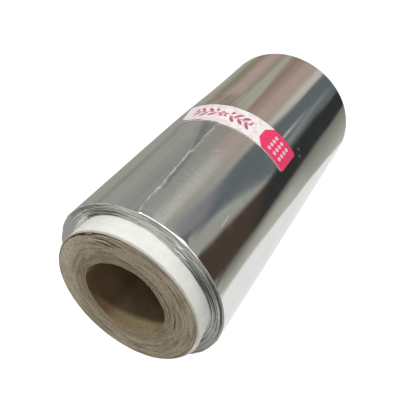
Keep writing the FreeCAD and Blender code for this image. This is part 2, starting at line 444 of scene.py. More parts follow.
def around(turn, radius, height):
    """Points at turns, radii and heights: x = -radius sin(turn), y = -radius cos(turn)."""
    turn, radius, height = np.broadcast_arrays(turn, radius, height)
    return np.stack([-radius * np.sin(turn), -radius * np.cos(turn), height], axis=-1)


def grid_faces(rows, columns, close_rows, close_columns):
    """The four corner numbers of each face of a grid, with its last row or column joined to its first."""
    row = np.arange(rows if close_rows else rows - 1)[:, None]
    column = np.arange(columns if close_columns else columns - 1)[None, :]
    next_row, next_column = (row + 1) % rows, (column + 1) % columns
    corners = (row, column), (row, next_column), (next_row, next_column), (next_row, column)
    return np.stack([a * columns + b for a, b in corners], axis=-1).reshape(-1, 4)


def make_piece(name, points, faces, material, **shades):
    """A smooth mesh object at the origin, from points, four-cornered faces, and a number per point for each
    named shade that the material reads."""
    mesh = bpy.data.meshes.new(name)
    mesh.vertices.add(points.size // 3)
    mesh.vertices.foreach_set("co", points.astype(np.float32).ravel())
    mesh.loops.add(faces.size)
    mesh.loops.foreach_set("vertex_index", faces.astype(np.int32).ravel())
    mesh.polygons.add(len(faces))
    mesh.polygons.foreach_set("loop_start", np.arange(0, faces.size, 4, dtype=np.int32))
    mesh.polygons.foreach_set("use_smooth", np.ones(len(faces), dtype=bool))
    mesh.update(calc_edges=True)
    for shade, values in shades.items():
        attribute = mesh.attributes.new(shade, "FLOAT", "POINT")
        attribute.data.foreach_set("value", values.astype(np.float32).ravel())
    mesh.materials.append(material)
    piece = bpy.data.objects.new(name, mesh)
    bpy.context.scene.collection.objects.link(piece)
    return piece


def split_masks(turn, radius):
    """Each split's mask on the sawn end, with its depth: a thin arc that tapers to both ends."""
    for number, (start, stop, first, last, width, depth) in enumerate(SPLITS):
        along = (np.degrees(turn) - start) / (stop - start)
        middle = first + (last - first) * along + 0.10 * ripple(turn, 0, 70 + number, 50, MM)
        reach = np.clip(4 * along * (1 - along), 0, 1) ** 0.5
        yield reach * bell(radius / MM, middle, width), depth * MM


def sawn_face(turn, radius):
    """How far the sawn end lies above or below its plane: rings of ply seams whose depth comes and goes round
    the turn, a soft fibrous roughness, and the splits."""
    height = 0.03 * MM * ripple(turn, radius, 3, 12, 1.6 * MM)
    height = height + 0.02 * MM * ripple(turn, radius, 4, 60, 0.6 * MM, 30)
    pitch = (BOARD_RADIUS - BORE_RADIUS) / PLY_COUNT
    for ply in range(1, PLY_COUNT):
        middle = BORE_RADIUS + pitch * (ply + 0.2 * ripple(turn, 0, 10 + ply, 4, MM))
        depth = np.clip(0.03 + 0.09 * ripple(turn, 0, 40 + ply, 9, MM), 0, 0.2) * MM
        height = height - depth * bell(radius, middle, PLY_SEAM)
    for mask, depth in split_masks(turn, radius):
        height = height - depth * mask
    return height


turn = np.linspace(-np.pi, np.pi, ROUND_STEPS, endpoint=False)
degrees = np.degrees(turn)
bore_waver = np.interp(degrees, TORN_TURNS, TORN) * MM + 0.06 * MM * ripple(turn, 0, 22, 50, MM)
bore_heights = CORE_TOP - BORE_EDGE - (CORE_TOP - 2 * BORE_EDGE) * np.linspace(1, 0, BORE_STEPS)[:, None] ** 2
bore_radii = BORE_RADIUS + bore_waver * np.exp((bore_heights - CORE_TOP) / (4 * MM))
bore_wall = around(turn, bore_radii, bore_heights)
lip_bend = np.radians((22, 45, 68))[:, None]
face_start = BORE_RADIUS + BORE_EDGE + bore_waver
lip_top = CORE_TOP - FACE_BELOW + sawn_face(turn, face_start)
lip_radii = face_start - BORE_EDGE * np.cos(lip_bend)
bore_lip = around(turn, lip_radii, lip_top - BORE_EDGE * (1 - np.sin(lip_bend)))
inward = np.linspace(0, 1, FACE_STEPS)[:, None]
face_radius = face_start + (BOARD_RADIUS - OUTER_EDGE - face_start) * inward
sawn_end = around(turn, face_radius, CORE_TOP - FACE_BELOW + sawn_face(turn, face_radius))
outer_bend = np.radians((30, 60, 85))[:, None]
rim_top = CORE_TOP - FACE_BELOW + sawn_face(turn, BOARD_RADIUS - OUTER_EDGE)
outer_radii = BOARD_RADIUS - OUTER_EDGE * (1 - np.sin(outer_bend))
outer_lip = around(turn, outer_radii, rim_top - OUTER_EDGE * (1 - np.cos(outer_bend)))
outer_wall = around(turn, BOARD_RADIUS - 0.02 * MM, np.linspace(CORE_TOP - 1.5 * MM, 0.4 * MM, 4)[:, None])
lower_radius = np.linspace(BOARD_RADIUS - 0.4 * MM, BORE_RADIUS + 0.4 * MM, 16)[:, None]
lower_end = around(turn, lower_radius, 0.07 * MM + 0.02 * MM * ripple(turn, lower_radius, 31, 20, MM))
core_points = np.concatenate([bore_wall, bore_lip, sawn_end, outer_lip, outer_wall, lower_end])
core_faces = grid_faces(len(core_points), ROUND_STEPS, True, True)

core_shape = core_points.shape[:2]
core_pale, core_split, core_bore, core_stained = np.zeros((4, *core_shape))
end_rows = slice(BORE_STEPS + 3, BORE_STEPS + 3 + FACE_STEPS)
core_pale[end_rows] = 0.5 + 0.5 * bell(degrees, -105, 48) * smooth(face_radius, 18 * MM, 23 * MM)
core_pale[end_rows] -= 0.4 * smooth(face_radius, 19.5 * MM, 15.5 * MM)
# Painted shade: the splits' masks, with which the material colours the splits darker
core_split[end_rows] = sum(mask for mask, depth in split_masks(turn, face_radius))
core_bore[: BORE_STEPS + 1] = 1
bore_depth = (CORE_TOP - bore_heights) / MM
whole_degrees = degrees % 360
# Painted shade over a stretch of the bore wall, weaker deeper in
core_stained[:BORE_STEPS] = smooth(whole_degrees, 170, 190) * smooth(whole_degrees, 265, 245)
core_stained[:BORE_STEPS] *= 1 - 0.4 * smooth(bore_depth, 4, 10)


def object_place(tree):
    """The piece's own coordinates as a socket."""
    return add_node(tree, "ShaderNodeTexCoord").outputs["Object"]


def shade(tree, name):
    """One of the piece's own shades as a socket."""
    return add_node(tree, "ShaderNodeAttribute", attribute_name=name).outputs["Fac"]


def new_group(name, numbers, output):
    """A shader node group with named number inputs, each with a default, and one number output."""
    group = bpy.data.node_groups.new(name, "ShaderNodeTree")
    for label, value in numbers.items():
        socket = group.interface.new_socket(name=label, in_out="INPUT", socket_type="NodeSocketFloat")
        socket.default_value = value
    group.interface.new_socket(name=output, in_out="OUTPUT", socket_type="NodeSocketFloat")
    return group


def from_centre(tree, x, y):
    """How far the place x, y is from 0, 0."""
    squares = maths(tree, "ADD", maths(tree, "MULTIPLY", x, x), maths(tree, "MULTIPLY", y, y))
    return maths(tree, "SQRT", squares)


def make_ring_grain():
    """Grain in lines round the axis: noise on (cos, sin) of the turn and on radius and height, so that it
    closes. Across, Up and Round are features a metre of radius, a metre of height, and about each turn."""
    numbers = {"Across": 0.0, "Up": 0.0, "Round": 4.0, "Detail": 3.0, "Shift": 0.0}
    group = new_group("ring_grain", numbers, "Grain")
    given = add_node(group, "NodeGroupInput").outputs
    x, y, z = add_node(group, "ShaderNodeSeparateXYZ", {0: object_place(group)}).outputs
    radius = maths(group, "MAXIMUM", from_centre(group, x, y), MM)
    cosine = maths(group, "MULTIPLY", maths(group, "DIVIDE", x, radius), given["Round"])
    sine = maths(group, "MULTIPLY", maths(group, "DIVIDE", y, radius), given["Round"])
    level = maths(group, "MULTIPLY_ADD", radius, given["Across"], maths(group, "MULTIPLY", z, given["Up"]))
    level = maths(group, "ADD", level, given["Shift"])
    spot = add_node(group, "ShaderNodeCombineXYZ", {0: cosine, 1: sine, 2: level}).outputs[0]
    add_node(group, "NodeGroupOutput", {"Grain": noise(group, spot, 1.0, given["Detail"])})
    return group


ring_grain = make_ring_grain()


def grain(tree, **values):
    """Places the ring grain in a tree with its own values."""
    node = add_node(tree, "ShaderNodeGroup", node_tree=ring_grain)
    for label, value in values.items():
        node.inputs[label].default_value = value
    return node.outputs[0]


def share_of(tree, mask, share):
    """A mask made weaker."""
    return maths(tree, "MULTIPLY", mask, share)


def coat(tree, colour, mask, share, over):
    """A colour with another laid over it where the mask is 1, as strongly as the share says."""
    return mix_colour(tree, share_of(tree, mask, share), colour, over)


def finish_material(tree, **inputs):
    """The tree's Principled shader, from {socket name: socket or value}, and its output."""
    named = {name.replace("_", " "): value for name, value in inputs.items()}
    shader = add_node(tree, "ShaderNodeBsdfPrincipled", named)
    add_node(tree, "ShaderNodeOutputMaterial", {"Surface": shader.outputs[0]})


def relief(tree, height, strength, distance):
    """A bumped normal from a height."""
    inputs = {"Strength": strength, "Distance": distance, "Height": height}
    return add_node(tree, "ShaderNodeBump", inputs).outputs[0]


def make_board_material():
    """Grey-brown board: rings of lighter and darker fibre, patches, splits coloured darker as painted shade,
    and a browner bore with painted shade on a stretch of its wall.
    """
    material, tree = new_material("core_board")
    rings = grain(tree, Across=1300.0, Up=260.0, Round=2.4, Detail=4.0)
    lines = grain(tree, Across=3300.0, Up=800.0, Round=11.0, Detail=4.0, Shift=31.0)
    place = object_place(tree)
    patches = noise(tree, place, 110.0, 3.0)
    flecks = noise(tree, place, 2100.0, 3.0)
    pale = shade(tree, "pale")
    colour = mix_colour(tree, ease(tree, rings, 0.38, 0.60), linear(140, 129, 107), linear(180, 168, 146))
    colour = mix_colour(tree, ease(tree, pale, 0.5, 1.0), colour, linear(198, 188, 165))
    colour = coat(tree, colour, ease(tree, pale, 0.5, 0.1), 0.6, linear(134, 121, 98))
    colour = coat(tree, colour, ease(tree, patches, 0.52, 0.72), 0.6, linear(170, 150, 128))
    colour = coat(tree, colour, ease(tree, lines, 0.54, 0.64), 0.45, linear(106, 94, 72))
    colour = coat(tree, colour, ease(tree, flecks, 0.56, 0.68), 0.45, linear(98, 86, 66))
    colour = coat(tree, colour, ease(tree, flecks, 0.44, 0.34), 0.35, linear(206, 196, 176))
    bore_tone = mix_colour(tree, ease(tree, patches, 0.35, 0.65), linear(131, 115, 86), linear(147, 132, 102))
    # Painted shade on a stretch of the bore wall
    bore_tone = mix_colour(tree, shade(tree, "stained"), bore_tone, linear(108, 86, 61))
    bore_tone = coat(tree, bore_tone, ease(tree, flecks, 0.5, 0.66), 0.5, linear(96, 78, 56))
    colour = mix_colour(tree, shade(tree, "bore"), colour, bore_tone)
    # Painted shade: the splits are coloured darker.
    colour = coat(tree, colour, ease(tree, shade(tree, "split"), 0.12, 0.6), 0.92, linear(82, 67, 42))
    height = maths(tree, "ADD", share_of(tree, lines, 0.6), share_of(tree, flecks, 0.4))
    normal = relief(tree, height, 0.6, 0.25 * MM)
    finish_material(tree, Base_Color=colour, Roughness=0.92, Specular_IOR_Level=0.2, Normal=normal)
    return material


board_core = make_piece(
    "board_core",
    core_points,
    core_faces,
    make_board_material(),
    pale=core_pale,
    split=core_split,
    bore=core_bore,
    stained=core_stained,
)
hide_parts("core_tube")
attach(board_core, "root")


# The liner is the last ply of the core: smooth white paper glued round the board. It shows as the white
# band between the board and the foil. Its sawn edge is soft, darker and browner, and turned in a little,
# and stands off the board on one side.
LINER_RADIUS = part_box("core_liner")[1].x
LINER_THICKNESS = LINER_RADIUS - BOARD_RADIUS
LINER_STEPS = 300
LINER_ROLL = 0.5 * MM
# Where the paper stands off the board at its upper edge: the turn and half width in degrees, and how far
LIFTED_TURN = 79
LIFTED_HALF = 13
LIFTED_BY = 0.7 * MM

turn = np.linspace(-np.pi, np.pi, LINER_STEPS, endpoint=False)
lifted = bell(np.degrees(turn), LIFTED_TURN, LIFTED_HALF)
liner_waver = 0.05 * MM * ripple(turn, 0, 51, 7, MM) + 0.03 * MM * ripple(turn, 0, 52, 50, MM)
roll = np.linspace(0, 1, 7)[:, None]
hidden_heights = np.linspace(0.1 * MM, RIM - 2 * MM, 8)
shown_heights = np.linspace(RIM - 1 * MM, CORE_TOP - LINER_ROLL, 14)[:-1]
outer_heights = np.concatenate([hidden_heights, shown_heights])[:, None]
liner_bulge = 0.03 * MM * (ripple(turn, outer_heights, 53, 9, 6 * MM) - 1)
liner_bulge = liner_bulge + LIFTED_BY * lifted * smooth(outer_heights, RIM - 2 * MM, CORE_TOP)
liner_outside = around(turn, LINER_RADIUS + liner_bulge, outer_heights)
liner_roll = around(
    turn,
    LINER_RADIUS - 0.03 * MM - 0.25 * MM * roll**2 + LIFTED_BY * lifted,
    CORE_TOP - LINER_ROLL * (1 - roll) - 0.08 * MM + liner_waver * roll,
)
liner_crest = around(turn, LINER_RADIUS - 0.4 * MM, CORE_TOP - 0.16 * MM + liner_waver)
inner_heights = np.linspace(CORE_TOP - 0.9 * MM, 0.1 * MM, 4)[:, None]
liner_inside = around(turn, LINER_RADIUS - LINER_THICKNESS, inner_heights)
liner_points = np.concatenate([liner_inside[::-1], liner_crest[None], liner_roll[::-1], liner_outside[::-1]])
liner_faces = grid_faces(len(liner_points), LINER_STEPS, True, True)
liner_dusty = np.broadcast_to(1 - lifted, (len(liner_points), LINER_STEPS))


def make_liner_material():
    """White paper: a faint mottle, and a darker, browner band along its cut edge."""
    material, tree = new_material("liner_paper")
    place = object_place(tree)
    height_up = add_node(tree, "ShaderNodeSeparateXYZ", {0: place}).outputs[2]
    mottle = noise(tree, place, 350.0, 4.0)
    lines = grain(tree, Up=900.0, Round=9.0)
    colour = mix_colour(tree, ease(tree, mottle, 0.35, 0.7), linear(240, 241, 234), linear(247, 248, 242))
    # The band along the cut edge is coloured darker and browner, except where the paper stands off the board
    dusty = maths(tree, "MULTIPLY_ADD", maths(tree, "SUBTRACT", mottle, 0.5), 0.7 * MM, height_up)
    near_edge = ease(tree, dusty, CORE_TOP - 1.2 * MM, CORE_TOP - 0.3 * MM)
    near_edge = maths(tree, "MULTIPLY", near_edge, shade(tree, "dusty"))
    colour = coat(tree, colour, near_edge, 0.95, linear(182, 173, 158))
    normal = relief(tree, maths(tree, "MULTIPLY_ADD", lines, 0.6, mottle), 0.2, 0.1 * MM)
    finish_material(tree, Base_Color=colour, Roughness=0.55, Specular_IOR_Level=0.3, Normal=normal)
    return material


white_liner = make_piece("white_liner", liner_points, liner_faces, make_liner_material(), dusty=liner_dusty)
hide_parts("core_liner")
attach(white_liner, "root")


# The foil is one long web of thin rolled aluminium, wound tight on the core. Its free edge lies along the
# roll as a crinkled seam, its upper rim is bumped and turned over, and its turns lie in ledges at the ends.

# The free edge's line: drops below the rim, and the turns there in degrees
SEAM_DROPS = np.array((0, 4, 10, 20, 25, 30, 33.4, 34, 40, 45, 50, 55, 66, 80, 96, 120)) * MM
SEAM_TURNS = np.radians(
    (-25, -26.2, -26.8, -28, -28.7, -29.4, -29.9, -28.7, -29, -30.2, -30.3, -31, -32.5, -33.2, -34, -35)
)
# How jagged the free edge is and how strongly its torn rim is painted pale as a highlight, by drop in mm
EDGE_DROPS = (0, 3, 9, 11, 16, 19, 31, 34, 36, 42, 44, 47, 50, 53, 66, 69, 85, 120)
EDGE_JAGS = (0.6, 0.6, 0.9, 1.3, 1.3, 0.5, 0.4, 1.0, 1.3, 1.0, 1.6, 1.6, 1.2, 0.25, 0.25, 0.6, 0.4, 0.2)
EDGE_GLINTS = (0.3, 0.45, 0.6, 1.0, 0.95, 0.6, 0.75, 1.0, 0.7, 0.55, 0.9, 1.0, 0.7, 0.0, 0.0, 0.3, 0.15, 0.0)
EDGE_STEP = 0.3 * MM
CRINKLED_TO = 52 * MM
# Columns beside the free edge, in mm from it, and how many more go round the rest
SIDE_COLUMNS = 0.12 * (1.18 ** np.arange(15) - 1) / 0.18
PLAIN_COLUMNS = 268
NEAR_ROWS = 150
FAR_ROWS = 60
FACE_ROWS = 44
FOOT_ROWS = 14
LEDGES = 7.5
# Places on the end face where a few turns stand up and glint: turn, half width, radius and height in mm
GLINTS = (
    (-30, 7, 26.8, 0.32), (8, 6, 27.1, 0.34), (8, 6, 28.7, 0.26), (-14, 6, 29.6, 0.2), (-2, 4, 28.2, 0.12),
)
# Creases in the outer turn: turn and drop of both ends in degrees and mm, half width and height in mm. Past
# the free edge on its left, the turn is a whole one more.
CREASES = (
    (307.4, -1, 306.8, 54, 0.45, 0.020),
    (329.0, 33, 318.8, 54, 0.60, 0.050),
    (-26.0, 15, -26.8, 33, 0.70, 0.040),
    (326.6, 66, 326.2, 84, 0.35, 0.035),
    (316.0, 66, 317.5, 82, 0.60, 0.035),
    (-18.0, 37, -10.0, 43, 0.35, 0.015),
    (323.0, 67, 321.0, 110, 0.50, 0.030),
    (325.6, 84, 324.6, 101, 0.35, 0.025),
)
# Two small dents beside the seal's end: turn and drop in degrees and mm
DENTS = ((24.6, 70.6), (27.8, 68.8))
# Short bright scratches: turn and drop of both ends in degrees and mm
NICKS = ((14.6, 14.5, 13.9, 20.0),)


def zigzag(value, start, stop, step, seed, period=None):
    """Sharp unevenness of -1 to 1: straight runs between random heights, with a knot about every step."""
    random = np.random.default_rng(seed)
    count = int(round((stop - start) / step))
    knots = start + (np.arange(count) + random.uniform(-0.35, 0.35, count)) * step
    return np.interp(value, knots, random.uniform(-1, 1, count), period=period)


def crinkle(drop, step, seed):
    """A zigzag down the whole foil."""
    return zigzag(drop, -2 * MM, 122 * MM, step * MM, seed)


def seam_turn(drop):
    """The turn of the free edge at a drop below the rim, with its jagged waver."""
    strong = np.interp(drop / MM, EDGE_DROPS, EDGE_JAGS)
    jag = 0.38 * crinkle(drop, 1.9, 61) + 0.22 * crinkle(drop, 0.8, 62)
    return np.interp(drop, SEAM_DROPS, SEAM_TURNS) + np.radians(strong * jag)


def web_radius(past):
    """The radius at an angle past the free edge: a spiral that falls by the edge's step in one turn."""
    return WEB_RADIUS - EDGE_STEP * past / (2 * np.pi)


def evened_step(past, drop):
    """How far the turn below rises to the free edge, so that no step shows under the seal or at the lower
    rim."""
    under_seal = smooth(drop, 45 * MM, 52 * MM) * smooth(drop, 77 * MM, 70 * MM)
    beside = smooth(past, 2 * np.pi - 0.95, 2 * np.pi - 0.3)
    return EDGE_STEP * past / (2 * np.pi) * beside * np.maximum(under_seal, smooth(drop, 92 * MM, 119 * MM))


def edge_fade(drop):
    """How strongly the free edge is crinkled: fully down to the seal, not under it, and faintly past it."""
    past_seal = 0.3 * smooth(drop, 68 * MM, 69 * MM) * smooth(drop, 100 * MM, 80 * MM)
    return smooth(drop, 54 * MM, 52 * MM) + past_seal


# How far the wall swells out at the left, in mm, by drop
SWELL_DROPS = (0, 15, 27, 41, 53, 64, 70, 80, 90, 105)
SWELLS = (0.05, 0.2, 0.3, 0.46, 0.5, 0.57, 0.47, 0.33, 0.13, 0)


def swell(turn, drop):
    """How far the loosely wound outer turns swell out round the left side, and a little at the lower rim."""
    whole_turn = (np.degrees(turn) + 180) % 360
    side = np.interp(drop / MM, SWELL_DROPS, SWELLS) * bell(whole_turn, 98, 26)
    low_rim = 0.25 * bell(whole_turn, 212, 22) * smooth(drop, 90 * MM, 119 * MM)
    return (side + low_rim) * MM


def wall_radius(past, turn, drop):
    """The outer turn's radius: the spiral with its evened step, long shallow waves, and the free edge's
    crinkled lift."""
    radius = web_radius(past) + evened_step(past, drop) + 0.012 * MM * ripple(turn, drop, 63, 11, 90 * MM)
    radius = radius + 0.004 * MM * ripple(turn, drop, 64, 36, 30 * MM)
    across = np.where(past < np.pi, past, past - 2 * np.pi) * WEB_RADIUS
    width = (0.9 + 0.5 * crinkle(drop, 3.1, 66)) * MM
    lift = (0.16 + 0.12 * crinkle(drop, 2.3, 65)) * MM * np.exp(-np.abs(across) / width)
    facets = 0.10 * MM * crinkle(drop + 0.4 * across, 0.85, 67) * bell(across, 0, 0.8 * MM)
    facets = facets + 0.04 * MM * crinkle(drop - 0.7 * across, 1.7, 68) * bell(across, 0, 2.2 * MM)
    side = np.where(past < np.pi, 1.0, 0.25)
    return radius + (lift + facets) * side * edge_fade(drop) + swell(turn, drop)


wall_drops = np.concatenate(
    [
        np.linspace(0.3 * MM, CRINKLED_TO, NEAR_ROWS)[:-1],
        np.linspace(CRINKLED_TO, WEB_WIDTH - 0.4 * MM, FAR_ROWS),
        [WEB_WIDTH - 0.15 * MM],
    ]
)
side_angles = SIDE_COLUMNS * MM / WEB_RADIUS
round_angles = np.linspace(side_angles[-1], 2 * np.pi - side_angles[-1], PLAIN_COLUMNS)[1:-1]
past = np.concatenate([side_angles, round_angles, 2 * np.pi - side_angles[::-1]])
column_count = len(past)

rim_turn = past + seam_turn(0.0)
rim_degrees = (np.degrees(rim_turn) + 180) % 360 - 180
bead = smooth(rim_degrees, -27, -15) * smooth(rim_degrees, 20, 4)
rim_jag = zigzag(rim_degrees, -180, 180, 6.5, 71, 360)
rim_fine = zigzag(rim_degrees, -180, 180, 2.2, 72, 360)
flare = (0.05 + 0.14 * bead - 0.25 * smooth(rim_degrees, 40, 80)) * MM
flare = flare + (0.09 + 0.08 * bead) * MM * rim_jag + 0.04 * MM * rim_fine
flare = flare + 0.55 * MM * bell(rim_degrees, 116, 22)
lip = (0.16 + (0.50 + 0.42 * rim_jag + 0.16 * rim_fine) * bead) * MM
rim_height = RIM + 0.09 * MM * rim_jag + 0.06 * MM * rim_fine

wall_turn = past + seam_turn(wall_drops)[:, None]
wall_depth = wall_drops[:, None]
near_rim = np.exp(-wall_depth / (3.5 * MM)) * smooth(wall_depth, 14 * MM, 7 * MM)
wall_height = RIM - wall_depth + (rim_height - lip - RIM + 0.3 * MM) * smooth(wall_depth, 1.5 * MM, 0)
foil_wall = around(wall_turn, wall_radius(past, wall_turn, wall_depth) + flare * near_rim, wall_height)

bend = np.radians((15, 35, 55, 75))[:, None]
lip_radius = wall_radius(past, rim_turn, 0.0) + flare
foil_lip = around(rim_turn, lip_radius - lip * (1 - np.cos(bend)), rim_height - lip * (1 - np.sin(bend)))

inward = np.linspace(0, 1, FACE_ROWS)[:, None]
face_outer = lip_radius - lip
face_inner = LINER_RADIUS + 0.03 * MM
face_radius = face_outer + (face_inner - face_outer) * inward
# How far the end face rises or sinks from the rim to the liner, by turn: the winding has slipped a little
SLIP_TURNS = (-180, -110, -72, -55, -40, -20, -7, 10, 33, 50, 77, 110, 180)
SLIPS = np.array((0.9, -0.6, -1.7, -0.9, -0.5, 0.0, 0.5, 1.0, 0.85, 0.2, -1.7, -0.5, 0.9)) * MM
slip = np.interp(rim_degrees, SLIP_TURNS, SLIPS)
ledge_phase = inward * LEDGES + past / (2 * np.pi)
ledge_number = np.floor(ledge_phase)
in_ledge = ledge_phase - ledge_number
ledge_height = 0.07 * MM * ripple(rim_turn, ledge_number * MM, 81, 6, 1.7 * MM)
next_height = 0.07 * MM * ripple(rim_turn, (ledge_number + 1) * MM, 81, 6, 1.7 * MM)
ledges = ledge_height + (next_height - ledge_height) * smooth(in_ledge, 0.7, 1.0)
ledges = ledges - 0.05 * MM * bell(in_ledge, 0.8, 0.12)
fuzz = 0.02 * MM * zigzag(rim_degrees + 60 * inward, -180, 240, 1.9, 83)
glints = 0.0
for middle, half_width, radius, height in GLINTS:
    place = bell(rim_degrees + 0.3 * half_width * rim_fine, middle, half_width)
    inside = smooth(face_radius, (radius + 0.12) * MM, (radius - 0.12) * MM)
    falling = smooth(face_radius, (radius - 1.3) * MM, (radius - 0.3) * MM)
    glints = glints + height * MM * place * inside * falling * (1 + 0.5 * rim_fine)
fade_in = smooth(inward, 0, 0.08)
foil_end = around(rim_turn, face_radius, rim_height + slip * inward**1.2 + (ledges + fuzz + glints) * fade_in)

foot_turn = past + seam_turn(WEB_WIDTH)
foot_radius = wall_radius(past, foot_turn, WEB_WIDTH) - 0.06 * MM
foot_inward = np.linspace(0, 1, FOOT_ROWS)[:, None]
foot_ledges = ripple(foot_turn, np.floor(foot_inward * LEDGES) * MM, 91, 5, 2 * MM)
foot_heights = web_low.z + 0.1 * MM * smooth(foot_inward, 0, 0.1) * foot_ledges
foil_foot = around(foot_turn, foot_radius + (face_inner - foot_radius) * foot_inward, foot_heights)
inner_wall = around(foot_turn, face_inner, np.linspace(web_low.z + MM, RIM - 4 * MM, 3)[:, None])

foil_points = np.concatenate([foil_wall[::-1], foil_lip, foil_end, inner_wall[::-1], foil_foot[::-1]])
foil_faces = grid_faces(len(foil_points), column_count, True, True)

# How loosely the turns lie on the end face, by turn: the gaps between them are grooved and painted dark as
# lines of shade
LOOSE_TURNS = (-180, -95, -75, -62, -45, -33, -25, 0, 8, 18, 30, 42, 58, 75, 92, 125, 180)
LOOSENESS = (0.4, 0.2, 0.5, 0.95, 0.85, 0.45, 0.35, 0.25, 0.4, 0.7, 1.0, 1.0, 0.6, 0.45, 0.6, 0.6, 0.4)
# How much duller and darker than the wall the end face is, by turn: duller because only the foil's cut edges
# show there, and darker by turn with painted shade
DUSKY_TURNS = (-180, -85, -70, -50, 12, 32, 50, 70, 84, 97, 125, 180)
DUSKINESS = (0.1, 0.05, 0.6, 1.0, 1.0, 0.9, 0.4, 0.1, 0.15, 0.5, 0.6, 0.1)
foil_shape = foil_points.shape[:2]
foil_edge, foil_loose, foil_dusky, foil_dull = np.zeros((4, *foil_shape))
wall_rows = slice(0, len(wall_drops))
end_rows = slice(len(wall_drops) + 4, len(wall_drops) + 4 + FACE_ROWS)
edge_across = np.where(past < np.pi, past, past - 2 * np.pi) * WEB_RADIUS
drop_mm = wall_depth / MM
# Painted highlight: the torn free edge, and two short lines beside it, are painted pale, less metallic and
# rougher
burr = bell(edge_across, 0.14 * MM, (0.18 + 0.07 * crinkle(wall_depth, 1.9, 74)) * MM)
left_burr = bell(edge_across, -0.55 * MM, 0.13 * MM) * smooth(drop_mm, 34, 36) * smooth(drop_mm, 50, 46)
right_burr = bell(edge_across, 0.75 * MM, 0.12 * MM) * smooth(drop_mm, 9, 11) * smooth(drop_mm, 18, 15)
second_burr = (left_burr + right_burr) * np.clip(1.6 * crinkle(wall_depth, 1.1, 75), 0, 1)
burr = np.maximum(burr, second_burr) * np.interp(drop_mm, EDGE_DROPS, EDGE_GLINTS)
burr = burr * np.clip(0.68 + 0.6 * crinkle(wall_depth, 1.3, 69), 0.3, 1)
foil_edge[wall_rows] = burr[::-1]
lip_rows = slice(len(wall_drops), len(wall_drops) + 4)
# Painted highlight along the rim's upper left stretch
worn_rim = smooth(rim_degrees, -84, -72) * smooth(rim_degrees, -22, -32)
foil_edge[lip_rows] = 0.6 * worn_rim * np.clip(0.6 + 0.7 * rim_fine, 0, 1)
foil_loose[end_rows] = np.interp(rim_degrees, LOOSE_TURNS, LOOSENESS) * smooth(inward, 0, 0.06)
# Painted shade on the end face, by turn
foil_dusky[end_rows] = np.interp(rim_degrees, DUSKY_TURNS, DUSKINESS) * smooth(inward, 0, 0.04)
# Painted shade and dark reflection on the wall: two wedges left of the free edge and a band just right of it
wall_degrees = (np.degrees(wall_turn) + 180) % 360 - 180
seam_degrees = np.degrees(seam_turn(wall_depth))
left_of_seam = smooth(wall_degrees, seam_degrees + 0.3, seam_degrees - 0.3)
upper_edge = np.interp(drop_mm, (33, 54), (-29.5, -41.5))
upper_wedge = smooth(wall_degrees, upper_edge - 0.6, upper_edge + 1.0) * left_of_seam
upper_wedge = upper_wedge * (0.5 + 0.5 * bell(wall_degrees, upper_edge + 2.5, 3.5))
upper_wedge = upper_wedge * smooth(drop_mm, 33, 38) * smooth(drop_mm, 56, 54)
lower_edge = np.interp(drop_mm, (66, 80), (-46, -42))
lower_wedge = smooth(wall_degrees, lower_edge - 0.8, lower_edge + 1.0) * smooth(wall_degrees, -33.5, -35)
lower_wedge = lower_wedge * smooth(drop_mm, 80, 73) * smooth(drop_mm, 64, 66)
beside_seam = bell(wall_degrees, seam_degrees + 2.1, 1.2) * smooth(drop_mm, 10, 17) * smooth(drop_mm, 35, 31)
foil_dull[wall_rows] = (upper_wedge + lower_wedge + beside_seam)[::-1]


def make_foil_map(mesh):
    """The wall's own map: mm round the roll from its near side, more from the free edge on, and mm down."""
    turns = np.concatenate([wall_turn, wall_turn[:, :1] + 2 * np.pi], axis=1)[::-1]
    rest = len(foil_points) - len(turns)
    round_mm = np.concatenate([turns, np.repeat(turns[-1:], rest, axis=0)]) * WEB_RADIUS / MM
    down_mm = np.concatenate([wall_drops[::-1], np.full(rest, -5 * MM)])[:, None] / MM + 0 * round_mm
    places = np.stack([round_mm, down_mm], axis=-1)
    places = np.concatenate([places, places[:1]]).reshape(-1, 2)
    corners = grid_faces(len(foil_points) + 1, column_count + 1, False, False)
    mesh.uv_layers.new(name="wall").data.foreach_set("uv", places[corners.ravel()].astype(np.float32).ravel())


def round_place(turn):
    """A turn in degrees as mm on the wall's map."""
    return np.radians(turn) * WEB_RADIUS / MM


def between(tree, value, low, high, soft):
    """A mask that is 1 where a value lies between two others, with soft edges."""
    past_low = ease(tree, value, low - soft, low + soft)
    return maths(tree, "MULTIPLY", past_low, ease(tree, value, high + soft, high - soft))


def bell_mask(tree, distance, width):
    """A mask that is 1 at distance 0 and falls away over about a width on both sides."""
    share = maths(tree, "DIVIDE", distance, width)
    return maths(tree, "EXPONENT", maths(tree, "MULTIPLY", maths(tree, "MULTIPLY", share, share), -1.0))


def crease_height(tree, round_mm, down_mm):
    """The creases and dents as one height in mm."""
    total = 0.0
    for start_turn, start_drop, stop_turn, stop_drop, width, height in CREASES:
        first, last = np.radians((start_turn, stop_turn)) * WEB_RADIUS / MM
        slope = (last - first) / (stop_drop - start_drop)
        middle = maths(tree, "MULTIPLY_ADD", down_mm, slope, first - slope * start_drop)
        ridge = bell_mask(tree, maths(tree, "SUBTRACT", round_mm, middle), width)
        ridge = maths(tree, "MULTIPLY", ridge, between(tree, down_mm, start_drop, stop_drop, 1.0))
        total = maths(tree, "MULTIPLY_ADD", ridge, height, total)
    for turn_place, drop_place in DENTS:
        sideways = maths(tree, "SUBTRACT", round_mm, round_place(turn_place))
        down = maths(tree, "SUBTRACT", down_mm, drop_place)
        dent = maths(tree, "MULTIPLY", bell_mask(tree, sideways, 0.55), bell_mask(tree, down, 0.6))
        total = maths(tree, "MULTIPLY_ADD", dent, -0.10, total)
    return total


